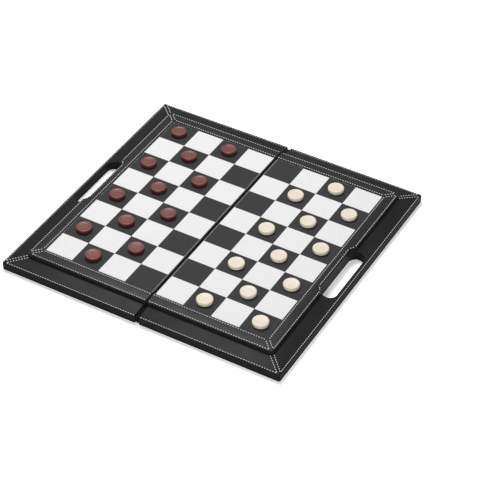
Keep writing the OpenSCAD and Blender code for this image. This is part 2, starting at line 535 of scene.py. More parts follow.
class Recipe(NodeBench):
    """A material under construction, on Object coordinates."""

    def __init__(self, name: str) -> None:
        """Starts a material with a shader and an output.

        Args:
            name: The material's name.
        """
        self.material = bpy.data.materials.new(name)
        super().__init__(self.material)
        self.shader = self.add("ShaderNodeBsdfPrincipled")
        self.surface = self.add("ShaderNodeOutputMaterial").inputs["Surface"]
        self.join(self.shader.outputs["BSDF"], self.surface)
        self.place = self.add("ShaderNodeTexCoord").outputs["Object"]

    def noise(self, scale: float, detail: float = 3, roughness: float = 0.5,
              place: Socket | None = None, out: str = "Fac") -> Socket:
        """A noise pattern.

        Args:
            scale: How many lumps go to a metre.
            detail: How many finer layers it has.
            roughness: How strong these are.
            place: Coordinates other than the object's own.
            out: The node's output to use.

        Returns:
            The pattern.
        """
        node = self.add("ShaderNodeTexNoise", Scale=scale, Detail=detail, Roughness=roughness)
        self.join(place or self.place, node.inputs["Vector"])
        return node.outputs[out]

    def tone(self, pattern: Socket, dark: tuple[float, Point], light: tuple[float, Point]) -> Socket:
        """Colours a pattern.

        Args:
            pattern: The pattern.
            dark: Its low value and the colour there.
            light: Its high value and the colour there.

        Returns:
            The colour.
        """
        node = self.add("ShaderNodeValToRGB")
        for element, (value, colour) in zip(node.color_ramp.elements, (dark, light)):
            element.position = value
            element.color = (*colour, 1)
        self.join(pattern, node.inputs["Fac"])
        return node.outputs["Color"]

    def lay_over(self, how: Blend, share: float, under: Socket, over: Socket) -> Socket:
        """Lays one colour over another.

        Args:
            how: The way they blend.
            share: How strongly the upper one counts.
            under: The lower colour.
            over: The upper colour.

        Returns:
            The blended colour.
        """
        node = self.add("ShaderNodeMix", data_type="RGBA", blend_type=how.value, Factor=share)
        self.join(under, node.inputs[6])
        self.join(over, node.inputs[7])
        return node.outputs[2]

    def spread(self, pattern: Socket, low: float, high: float) -> Socket:
        """Maps a pattern from 0.25 to 0.75, where noise mostly lies, onto a range of values.

        Args:
            pattern: The pattern.
            low: The lowest value.
            high: The highest value.

        Returns:
            The value.
        """
        node = self.add("ShaderNodeMapRange")
        for key, value in (("From Min", 0.25), ("From Max", 0.75), ("To Min", low), ("To Max", high)):
            node.inputs[key].default_value = value
        self.join(pattern, node.inputs["Value"])
        return node.outputs["Result"]

    def bump(self, pattern: Socket, depth: float, under: Socket | None = None,
             strength: float = 1.0) -> Socket:
        """A relief of a real depth.

        Args:
            pattern: Its height.
            depth: How deep it is.
            under: A relief that it lies on.
            strength: How strongly it shows.

        Returns:
            The relief's normal.
        """
        node = self.add("ShaderNodeBump", Strength=strength, Distance=depth)
        self.join(pattern, node.inputs["Height"])
        if under is not None:
            self.join(under, node.inputs["Normal"])
        return node.outputs["Normal"]

    def finish(self, colour: Socket | None = None, relief: Socket | None = None, gloss: Socket | None = None,
               **values: object) -> bpy.types.Material:
        """Joins what varies to the shader and sets what doesn't.

        Args:
            colour: What gives the base colour.
            relief: What gives the normal.
            gloss: What gives the roughness.
            values: The shader's inputs that are the same all over, with underscores for spaces.

        Returns:
            The material.
        """
        for source, name in ((colour, "Base Color"), (relief, "Normal"), (gloss, "Roughness")):
            if source is not None:
                self.join(source, self.shader.inputs[name])
        for key, value in values.items():
            self.shader.inputs[key.replace("_", " ")].default_value = value
        return self.material


def shade(colour: Point, factor: float) -> Point:
    """A colour made lighter or darker by a factor."""
    return tuple(min(1.0, c * factor) for c in colour)


@dataclass(frozen=True)
class Leatherette:
    """Embossed plastic leather: a fine pebbled grain over a colour that varies a little, with painted shade
    in the furrows.
    """

    name: str
    colour: Point
    roughness: float = 0.5
    pebble: float = 1.2 * MM
    grain_depth: float = 0.02 * MM
    mottle: float = 0.14
    # the share by which painted shade darkens the furrows between the pebbles
    furrow_shade: float = 0.4
    specular: float = 0.17

    def make(self) -> bpy.types.Material:
        """Builds the material.

        Returns:
            The material.
        """
        recipe = Recipe(self.name)
        wander = recipe.noise(0.35 / self.pebble, detail=2, out="Color")
        place = recipe.lay_over(Blend.SHIFT, 0.25 * self.pebble, recipe.place, wander)
        cells = recipe.add("ShaderNodeTexVoronoi", Scale=1 / self.pebble, feature="DISTANCE_TO_EDGE")
        recipe.join(place, cells.inputs["Vector"])
        domes = recipe.add("ShaderNodeMapRange", interpolation_type="SMOOTHSTEP", From_Max=0.22)
        recipe.join(cells.outputs["Distance"], domes.inputs["Value"])
        pebbles = domes.outputs["Result"]
        cloud = recipe.noise(38, detail=4, roughness=0.6)
        tone = recipe.tone(cloud, (0.3, shade(self.colour, 1 - self.mottle)),
                           (0.7, shade(self.colour, 1 + self.mottle)))
        creases = recipe.bump(recipe.noise(260, roughness=0.55), 0.5 * self.grain_depth)
        # The tone is multiplied down in the furrows between the pebbles: painted shade, on top of the
        # pebbles' real relief.
        return recipe.finish(
            colour=recipe.lay_over(Blend.DARKEN, self.furrow_shade, tone, pebbles),
            relief=recipe.bump(pebbles, self.grain_depth, under=creases),
            gloss=recipe.spread(cloud, self.roughness - 0.05, self.roughness + 0.07),
            Specular_IOR_Level=self.specular)


@dataclass(frozen=True)
class Felt:
    """Short, matt, matted fibres."""

    name: str
    colour: Point

    def make(self) -> bpy.types.Material:
        """Builds the material.

        Returns:
            The material.
        """
        recipe = Recipe(self.name)
        fibres = recipe.noise(1900, detail=6, roughness=0.75)
        tone = recipe.tone(fibres, (0.3, shade(self.colour, 0.6)), (0.75, shade(self.colour, 1.45)))
        patches = recipe.lay_over(Blend.TINT, 0.3, tone, recipe.noise(30))
        return recipe.finish(patches, recipe.bump(fibres, 0.25 * MM), Roughness=0.95, Specular_IOR_Level=0.15)


@dataclass(frozen=True)
class TurnedWood:
    """Lacquered wood with straight grain that shows on the faces and round the sides."""

    name: str
    light: Point
    dark: Point
    roughness: float = 0.38
    coat: float = 0.06

    def make(self) -> bpy.types.Material:
        """Builds the material.

        Returns:
            The material.
        """
        recipe = Recipe(self.name)
        stretch = recipe.add("ShaderNodeMapping", Scale=(60, 700, 700), Rotation=(0, 0, 0.5))
        recipe.join(recipe.place, stretch.inputs["Vector"])
        along = stretch.outputs["Vector"]
        grain = recipe.add("ShaderNodeMix", data_type="FLOAT", Factor=0.35)
        recipe.join(recipe.noise(1, detail=5, roughness=0.6, place=along), grain.inputs[2])
        recipe.join(recipe.noise(3.1, roughness=0.7, place=along), grain.inputs[3])
        lines = grain.outputs[0]
        cloud = recipe.noise(55, detail=2)
        tone = recipe.tone(lines, (0.32, self.dark), (0.62, self.light))
        return recipe.finish(
            colour=recipe.lay_over(Blend.TINT, 0.25, tone, cloud),
            relief=recipe.bump(lines, 0.05 * MM, strength=0.6),
            gloss=recipe.spread(cloud, self.roughness - 0.04, self.roughness + 0.06),
            Specular_IOR_Level=0.3, Coat_Weight=self.coat, Coat_Roughness=0.25)


@dataclass(frozen=True)
class PressedBoard:
    """Bare brown fibreboard: fine fibres in flat patches."""

    name: str
    colour: Point

    def make(self) -> bpy.types.Material:
        """Builds the material.

        Returns:
            The material.
        """
        recipe = Recipe(self.name)
        fibres = recipe.noise(520, detail=5, roughness=0.7)
        tone = recipe.tone(fibres, (0.3, shade(self.colour, 0.8)), (0.7, shade(self.colour, 1.15)))
        return recipe.finish(tone, recipe.bump(fibres, 0.1 * MM), Roughness=0.8)


@dataclass(frozen=True)
class Thread:
    """Twisted sewing thread."""

    name: str
    colour: Point

    def make(self) -> bpy.types.Material:
        """Builds the material.

        Returns:
            The material.
        """
        recipe = Recipe(self.name)
        twist = recipe.noise(2600, detail=2, roughness=0.6)
        tone = recipe.tone(twist, (0.3, shade(self.colour, 0.82)), (0.65, shade(self.colour, 1.06)))
        return recipe.finish(tone, recipe.bump(twist, 0.08 * MM), Roughness=0.7, Sheen_Weight=0.2)


@dataclass(frozen=True)
class Plating:
    """Dull nickel plate with fine scratches."""

    name: str
    colour: Point

    def make(self) -> bpy.types.Material:
        """Builds the material.

        Returns:
            The material.
        """
        recipe = Recipe(self.name)
        marks = recipe.noise(900, detail=4, roughness=0.6)
        tone = recipe.tone(marks, (0.35, shade(self.colour, 0.85)), (0.65, self.colour))
        gloss = recipe.spread(marks, 0.28, 0.45)
        return recipe.finish(tone, recipe.bump(marks, 0.01 * MM), gloss, Metallic=1.0)


class Finish(Enum):
    """Every finish on the case and its draughts."""

    RAIL = Leatherette("rail_leatherette", (0.012, 0.012, 0.013), roughness=0.48, specular=0.08)
    LEDGE = Leatherette("ledge_leatherette", (0.0150, 0.0150, 0.0160), roughness=0.34, specular=0.055)
    BORDER = Leatherette("border_leatherette", (0.021, 0.021, 0.023), roughness=0.36, specular=0.095)
    HINGE = Leatherette("hinge_leatherette", (0.009, 0.009, 0.010), roughness=0.62, specular=0.12)
    DARK_SQUARES = Leatherette("charcoal_squares", (0.034, 0.034, 0.037), roughness=0.58, specular=0.12)
    LIGHT_SQUARES = Leatherette("white_squares", (0.85, 0.85, 0.85), roughness=0.55, mottle=0.008,
                                grain_depth=0.010 * MM, furrow_shade=0.16)
    LIGHT_POINTS = Leatherette("white_points", (0.74, 0.73, 0.70), roughness=0.6, mottle=0.02)
    DARK_POINTS = Leatherette("oxblood_points", (0.16, 0.020, 0.014), roughness=0.6)
    LINING = Felt("tray_felt", (0.022, 0.022, 0.024))
    BOARD = PressedBoard("panel_fibreboard", (0.36, 0.24, 0.13))
    THREAD = Thread("pale_thread", (0.88, 0.88, 0.86))
    MAGNET = Plating("nickel_plate", (0.72, 0.71, 0.69))
    BROWN_WOOD = TurnedWood("brown_stained_wood", (0.172, 0.035, 0.023), (0.08, 0.014, 0.009))
    # A darker copy of the brown wood for the draughts' upright sides: painted shade, not a stain.
    BROWN_EDGE = TurnedWood("brown_wood_painted_side_shade", (0.085, 0.019, 0.014), (0.045, 0.009, 0.006))
    CREAM_WOOD = TurnedWood("pale_lacquered_wood", (0.81, 0.735, 0.625), (0.71, 0.61, 0.48), roughness=0.4)

    def material(self) -> bpy.types.Material:
        """The finish's material, built the first time that it is asked for.

        Returns:
            The material.
        """
        found = bpy.data.materials.get(self.value.name)
        return found or self.value.make()


def dress(piece: Piece, finish: Finish) -> None:
    """Gives a piece one finish all over.

    Args:
        piece: The piece to dress.
        finish: Its finish.
    """
    piece.data.materials.clear()
    piece.data.materials.append(finish.material())


# --------------------------------------------------------------------------------------------- the sizes


class Side(Enum):
    """One half of the case: the body that it moves with, and what its names start with."""

    LEFT = "left"
    RIGHT = "right"

    @property
    def body(self) -> str:
        """The body's name in the frame."""
        return f"{self.value}_half"

    def name(self, part: str) -> str:
        """The name of a part of this half."""
        return f"{self.value}_{part}"


@dataclass(frozen=True)
class CaseSizes:
    """Sizes of the right half, read from the frame's nodes, and those that only the looks need."""

    half_x: float
    half_y: float
    rail_x: float
    rail_top: float
    step_x: float
    step_y: float
    foot: float
    field_x: float
    field_y: float
    border_end: float
    ledge_end: float
    border_foot: float
    border_top: float
    play_h: float
    sheet_x: float
    tray_x0: float
    tray_x1: float
    tray_y: float
    flange_x: float
    flange_y: float
    fold_low: float
    squares_across: int = 4
    squares_along: int = 8
    ledge_drop: float = 3.2 * MM
    corner_r: float = 2 * MM
    slot_length: float = 116 * MM
    slot_width: float = 26 * MM
    bar: float = 7.5 * MM
    notch_run: float = 9.5 * MM
    leather: float = 0.5 * MM

    @classmethod
    def from_frame(cls) -> "CaseSizes":
        """Reads the sizes from the right half's nodes.

        Returns:
            The sizes.
        """
        spine_low, spine_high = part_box("right_spine_rail")
        ledge_low, ledge_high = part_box("right_front_ledge")
        strip_low, strip_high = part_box("right_side_border")
        front_low, front_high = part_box("right_front_border")
        sheet_low, sheet_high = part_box("right_playing_sheet")
        handle_low, handle_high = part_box("right_handle_rail")
        outer_low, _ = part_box("right_front_rail")
        hinge_low, hinge_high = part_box("spine_hinge")
        return cls(
            half_x=handle_high[0], half_y=-outer_low[1], rail_x=spine_low[0], rail_top=handle_high[2],
            step_x=strip_high[0], step_y=strip_high[1], foot=ledge_high[2],
            field_x=strip_low[0], field_y=-front_high[1],
            border_end=front_low[0], ledge_end=ledge_low[0],
            border_foot=strip_low[2], border_top=strip_high[2], play_h=sheet_high[2], sheet_x=sheet_low[0],
            tray_x0=spine_high[0], tray_x1=handle_low[0], tray_y=handle_high[1],
            flange_x=hinge_high[0], flange_y=hinge_high[1], fold_low=hinge_low[2],
        )

    @property
    def ledge_w(self) -> float:
        """Width of the sloping ledge."""
        return self.half_x - self.step_x

    @property
    def border_w(self) -> float:
        """Width of the border strips."""
        return self.step_x - self.field_x

    @property
    def fall(self) -> float:
        """How much the ledge falls for each metre outwards."""
        return self.ledge_drop / self.ledge_w

    @property
    def square(self) -> float:
        """Side of a chess square."""
        return 2 * self.field_y / self.squares_along

    @property
    def margin_x(self) -> float:
        """Where the first squares start, from the fold."""
        return self.field_x - self.squares_across * self.square

    @property
    def slot_out(self) -> float:
        """The slot's outer long side."""
        return self.half_x - self.bar

    @property
    def slot_in(self) -> float:
        """The slot's inner long side."""
        return self.slot_out - self.slot_width

    @property
    def slot_x(self) -> float:
        """The slot's centre line."""
        return (self.slot_in + self.slot_out) / 2

    @property
    def bay_depth(self) -> float:
        """How deep the raised middle's bay beside the slot is."""
        return self.step_x - self.slot_in

    @property
    def bay_slack(self) -> float:
        """How much a line beside the bay's wall is longer, for each metre that it lies off that wall."""
        return math.tan(math.atan(self.bay_depth / self.notch_run) / 2)


# ------------------------------------------------------------------------------------- forms of one half


@dataclass
class HalfForms:
    """The leather-covered forms of the right half, from which both halves take their pieces."""

    sizes: CaseSizes
    outer_round: float = 1.8 * MM
    slot_round: float = 2.0 * MM
    rim_round: float = 0.8 * MM
    skin_foot: float = 0.6 * MM
    ledge_pad: Padding = Padding(seam=2.2 * MM)
    fold_edge_round: float = 1.2 * MM
    core_round: float = 0.8 * MM
    border_fall: float = 1.2 * MM
    border_outer_round: float = 2.4 * MM
    border_inner_round: float = 0.7 * MM
    border_end_round: float = 0.4 * MM
    border_pad: Padding = Padding(seam=2.5 * MM)
    sloping_below: float = 0.9999        # a slope's normal has a share along Z below this
    fold_round: float = 2.2 * MM
    notch_round: float = 3 * MM
    border_corner: float = 2 * MM
    field_line: float = 0.32 * MM
    line_lip: float = 0.02 * MM
    tile_lip: float = 0.04 * MM
    tile_sunk: float = 0.3 * MM
    tile_gap: float = 0.06 * MM
    sheet_spread: float = 19.4 * MM      # how far the sheet reaches under the border strips
    sheet_turn: float = 5 * MM           # how far it turns down at the fold
    beyond: float = 5 * MM               # how far the notch's plug sticks out past the step
    tucked_in: float = 12 * MM           # how far the ledge runs on under the raised middle
    behind: float = 0.15 * MM            # how far the ledge's leather lies behind the slot's wall
    spare: float = 0.05 * MM             # what a form has over, where it is cut to its outline
    slot_flats: int = 56

    def slot_plug(self, name: str, grow: float, low: float, high: float) -> Piece:
        """A plug the shape of the hand slot, with full round ends.

        Args:
            name: The new piece's name.
            grow: How much wider than the slot it is, on each side.
            low: The plug's lower end.
            high: Its upper end.

        Returns:
            The plug.
        """
        s = self.sizes
        plug = round_bar(name, (s.slot_x, 0, (low + high) / 2), s.slot_width / 2 + grow, high - low,
                         self.slot_flats)
        stretch = (s.slot_length - s.slot_width) / 2
        for sign in (-1, 1):
            pick_faces(plug, lambda c, n, sign=sign: c.y * sign > NEAR and is_wall(n))
            bpy.ops.transform.translate(value=(0, sign * stretch, 0))
            close_up()
        return plug

    def notch_plug(self, name: str, back: float, low: float, high: float) -> Piece:
        """A plug the shape of the bay that the raised middle leaves beside the slot.

        Args:
            name: The new piece's name.
            back: How far the bay's walls are moved back into the middle.
            low: The plug's lower end.
            high: Its upper end.

        Returns:
            The plug, which sticks out past the step.
        """
        s = self.sizes
        straight = s.slot_length / 2 - s.notch_run + back * s.bay_slack
        wide = straight + s.notch_run * (s.bay_depth + back + self.beyond) / s.bay_depth
        plug = block(name, (s.slot_in - back, -straight, low), (s.step_x + self.beyond, straight, high))
        pick_faces(plug, lambda c, n: n.x > SQUARE_ON)
        bpy.ops.transform.resize(value=(1, wide / straight, 1), center_override=(0, 0, 0))
        close_up()
        round_over(plug, lambda c, n: is_post(n) and c.x < s.slot_in, self.notch_round, steps=5)
        return plug

    def slab(self, name: str, start: float, inset: float, low: float, under: float,
             padding: Padding | None = None) -> Piece:
        """The whole outer form of a half: walls, rounded upright corners, sloping ledges and a flat middle.

        Args:
            name: The new piece's name.
            start: How far from the fold the form starts.
            inset: How far every outer face lies inside the case's own.
            low: The height of the form's underside.
            under: How far the slopes run on under the raised middle.
            padding: How the slopes are padded, if they are.

        Returns:
            The closed form, from its start outwards.
        """
        s = self.sizes
        x, y = s.half_x - inset, s.half_y - inset
        slope = s.ledge_w - inset + self.spare
        width = slope + under
        far_x, far_y = x + self.spare, y + self.spare
        form = block(name, (-far_x, -far_y, low), (far_x, far_y, s.foot - inset - slope * s.fall))
        pick_faces(form, lambda c, n: n.z > SQUARE_ON)
        bpy.ops.mesh.inset(thickness=width, depth=width * s.fall)
        close_up()
        if padding:
            padding.apply(form, lambda c, n: SQUARE_ON < n.z < self.sloping_below)
        outline = block(f"{name}_outline", (start, -y, low - MM), (x, y, s.border_top))
        round_over(outline, lambda c, n: is_post(n), s.corner_r - inset, steps=7)
        carve(form, outline, Carving.SHARED)
        merge_and_turn_out(form)
        return form

    def ledge_skins(self) -> dict[str, Piece]:
        """Makes the ledge's leather, which also covers the outer walls and lines the hand slot.

        Returns:
            The front, side and back skins by the names of the parts.
        """
        s = self.sizes
        clear_start = s.ledge_end - 2 * s.corner_r
        form = self.slab("ledge_form", clear_start, 0, self.skin_foot, self.tucked_in, self.ledge_pad)
        round_over(form, lambda c, n: is_brim(n) and c.x > s.ledge_end, self.outer_round, steps=5)
        side = copy_of(form, "side_form")
        carve(side, self.slot_plug("slot", self.behind, -MM, s.border_top))
        round_over(side, lambda c, n: is_brim(n) and abs(c.y) < s.slot_length / 2 + MM
                   and s.slot_in - MM < c.x < s.slot_out + MM, self.slot_round, steps=5)
        saw(form, (s.ledge_end, 0, 0), (-1, 0, 0))
        round_over(form, lambda c, n: c.x < s.ledge_end + HAIR and n[0].z > -SQUARE_ON,
                   self.fold_edge_round, steps=4)
        corner = (s.step_x, -s.step_y, 0)
        saw(form, corner, (1, 1, 0), capped=False)
        saw(form, corner, (0, 1, 0), capped=False)
        strip_off(form, lambda c, n: n.z < -SQUARE_ON)
        for sign in (-1, 1):
            saw(side, (s.step_x, sign * s.step_y, 0), (-1, sign, 0), capped=False)
        saw(side, (s.slot_in - 2 * self.slot_round, 0, 0), (-1, 0, 0), capped=False)
        strip_off(side, lambda c, n: n.z < -SQUARE_ON)
        tidy_skin(form)
        tidy_skin(side)
        back = mirrored(form, "back_form", Axis.Y, skin=True)
        return {"front_ledge": form, "side_ledge": side, "back_ledge": back}

    def border_skins(self) -> dict[str, Piece]:
        """Makes the border's leather: three mitred strips, turned down over the step and in at their ends.

        Returns:
            The front, side and back skins by the names of the parts.
        """
        s = self.sizes
        form = block("border_form", (-s.step_x, -s.step_y, s.border_foot),
                     (s.step_x, s.step_y, s.border_top - self.border_fall))
        pick_faces(form, lambda c, n: n.z > SQUARE_ON)
        bpy.ops.mesh.inset(thickness=s.border_w, depth=self.border_fall)
        close_up()
        saw(form, (s.border_end, 0, 0), (-1, 0, 0))
        carve(form, self.notch_plug("notch", 0, s.border_foot - MM, s.border_top + MM))
        well = block("well", (0, -s.field_y, s.play_h - NEAR), (s.field_x, s.field_y, s.border_top + MM))
        carve(form, well)
        merge_and_turn_out(form)
        self.border_pad.apply(form, lambda c, n: n.z > SQUARE_ON and c.z > s.play_h + 0.5 * MM)
        for at, radius in ((s.step_y, self.border_corner), (s.slot_length / 2, self.notch_round)):
            round_over(form, lambda c, n, at=at: is_post(n) and abs(c.x - s.step_x) < HAIR
                       and abs(abs(c.y) - at) < MM, radius, steps=5)

        above = s.play_h + 2 * NEAR

        def outer(c: Vector, n: list[Vector]) -> bool:
            """Whether an edge lies round the strips' tops, outside."""
            inside = abs(c.y) < s.field_y + NEAR and c.x < s.field_x + NEAR
            return is_brim(n) and c.z > above and c.x > s.border_end + NEAR and not inside

        def at_fold(c: Vector, n: list[Vector]) -> bool:
            """Whether an edge lies across a strip's end at the fold."""
            return n[0].x < -SQUARE_ON and n[1].z > SQUARE_ON and c.z > above and c.x < s.border_end + NEAR

        def inner(c: Vector, n: list[Vector]) -> bool:
            """Whether an edge lies round the strips' tops, towards the squares."""
            return is_brim(n) and c.z > s.border_top - NEAR

        round_over(form, outer, self.border_outer_round, steps=4)
        round_over(form, inner, self.border_inner_round, steps=3)
        round_over(form, at_fold, self.border_end_round, steps=2)
        strip_off(form, lambda c, n: n.z < -SQUARE_ON or (n.z > SQUARE_ON and c.z < s.play_h - NEAR / 2)
                  or (n.x < -SQUARE_ON and c.x < s.border_end + NEAR and abs(c.y) < s.field_y))
        side = copy_of(form, "side_border_form")
        saw(form, (s.step_x, -s.step_y, 0), (1, 1, 0), capped=False)
        saw(form, (0, 0, 0), (0, 1, 0), capped=False)
        for sign in (-1, 1):
            saw(side, (s.step_x, sign * s.step_y, 0), (-1, sign, 0), capped=False)
        pick(side, lambda edge: edge.is_boundary and middle_of(edge).z < s.border_foot + HAIR
             and middle_of(edge).x < s.step_x - HAIR, faces=False)
        bpy.ops.mesh.extrude_region_move(
            TRANSFORM_OT_translate={"value": (0, 0, self.skin_foot - s.border_foot)})
        close_up()
        tidy_skin(form)
        tidy_skin(side)
        back = mirrored(form, "back_border_form", Axis.Y, skin=True)
        return {"front_border": form, "side_border": side, "back_border": back}

    def rails(self) -> dict[str, Piece]:
        """Makes the four wrapped rails under the leather of the ledges.

        Returns:
            The rails by the names of the parts.
        """
        s = self.sizes
        core = self.slab("rail_form", s.rail_x, s.leather, 0, 0)
        top = s.foot - s.leather
        pick_faces(core, lambda c, n: n.z > SQUARE_ON and c.z > top - NEAR)
        bpy.ops.mesh.inset(thickness=self.core_round, depth=0)
        bpy.ops.mesh.extrude_region_move(TRANSFORM_OT_translate={"value": (0, 0, s.rail_top - top)})
        close_up()
        rails = {name: copy_of(core, name) for name in ("front_rail", "handle_rail", "spine_rail")}
        throw_away(core)
        saw(rails["front_rail"], (0, -s.tray_y, 0), (0, 1, 0))
        saw(rails["handle_rail"], (s.tray_x1, 0, 0), (-1, 0, 0))
        saw(rails["spine_rail"], (s.tray_x0, 0, 0), (1, 0, 0))
        for name in ("handle_rail", "spine_rail"):
            for sign in (-1, 1):
                saw(rails[name], (0, sign * s.tray_y, 0), (0, sign, 0))
        carve(rails["handle_rail"], self.slot_plug("slot", s.leather, -MM, s.border_top))
        carve(rails["handle_rail"], self.notch_plug("notch", self.core_round, top - NEAR, s.border_top))
        for rail in rails.values():
            round_over(rail, lambda c, n: c.z < HAIR and n[0].z < -SQUARE_ON and is_wall(n[1]),
                       self.rim_round, steps=3)
        wrapped_end = block("wrapped_end", (s.rail_x - MM, -s.half_y - MM, -MM),
                            (s.ledge_end + s.leather, -s.step_y, s.foot + MM))
        carve(rails["front_rail"], wrapped_end)
        rails["back_rail"] = mirrored(rails["front_rail"], "back_rail", Axis.Y)
        return rails

    def sheet(self) -> Piece:
        """Makes the playing sheet: flat, and turned down over the edge at the fold.

        Returns:
            The sheet's skin.
        """
        s = self.sizes
        y = s.field_y + self.sheet_spread
        form = block("sheet_form", (s.sheet_x, -y, s.play_h - self.sheet_turn), (s.slot_in - MM, y, s.play_h))
        round_over(form, lambda c, n: c.x < s.sheet_x + HAIR and n[1].z > SQUARE_ON, self.fold_round, steps=6)
        strip_off(form, lambda c, n: n.z < -SQUARE_ON or n.x > SQUARE_ON or abs(n.y) > SQUARE_ON)
        return form

    def light_squares(self, odd: int) -> Piece:
        """Makes every other square of a half, as thin tiles laid on the sheet.

        Args:
            odd: 1 where the square nearest the fold at the back is dark, otherwise 0.

        Returns:
            All the tiles and the thin line round the field, as one piece.
        """
        s = self.sizes
        gap, foot = self.tile_gap, s.play_h - self.tile_sunk
        tile = block("tile", (gap, gap, foot), (s.square - gap, s.square - gap, s.play_h + self.tile_lip))
        round_over(tile, lambda c, n: n[1].z > SQUARE_ON, self.tile_lip / 2, steps=1)
        tiles = []
        for i in range(s.squares_across):
            for j in range(s.squares_along):
                if (i + j) % 2 == odd:
                    one = copy_of(tile, f"tile_{i}_{j}")
                    one.location = (s.margin_x + i * s.square, s.field_y - (j + 1) * s.square, 0)
                    fix_in_place(one)
                    tiles.append(one)
        throw_away(tile)
        near, far, y, w = s.margin_x, s.field_x, s.field_y, self.field_line
        start, end = near + gap, far - w - gap
        corners = (((near - w, -y), (near, y)), ((far - w, -y), (far, y)),
                   ((start, y - w), (end, y)), ((start, -y), (end, w - y)))
        for low, high in corners:
            line = block("field_line", (*low, foot), (*high, s.play_h + self.line_lip))
            round_over(line, lambda c, n: n[1].z > SQUARE_ON, self.line_lip, steps=1)
            tiles.append(line)
        return joined("light_squares_form", tiles)


# ------------------------------------------------------------------------------------------- the stitching


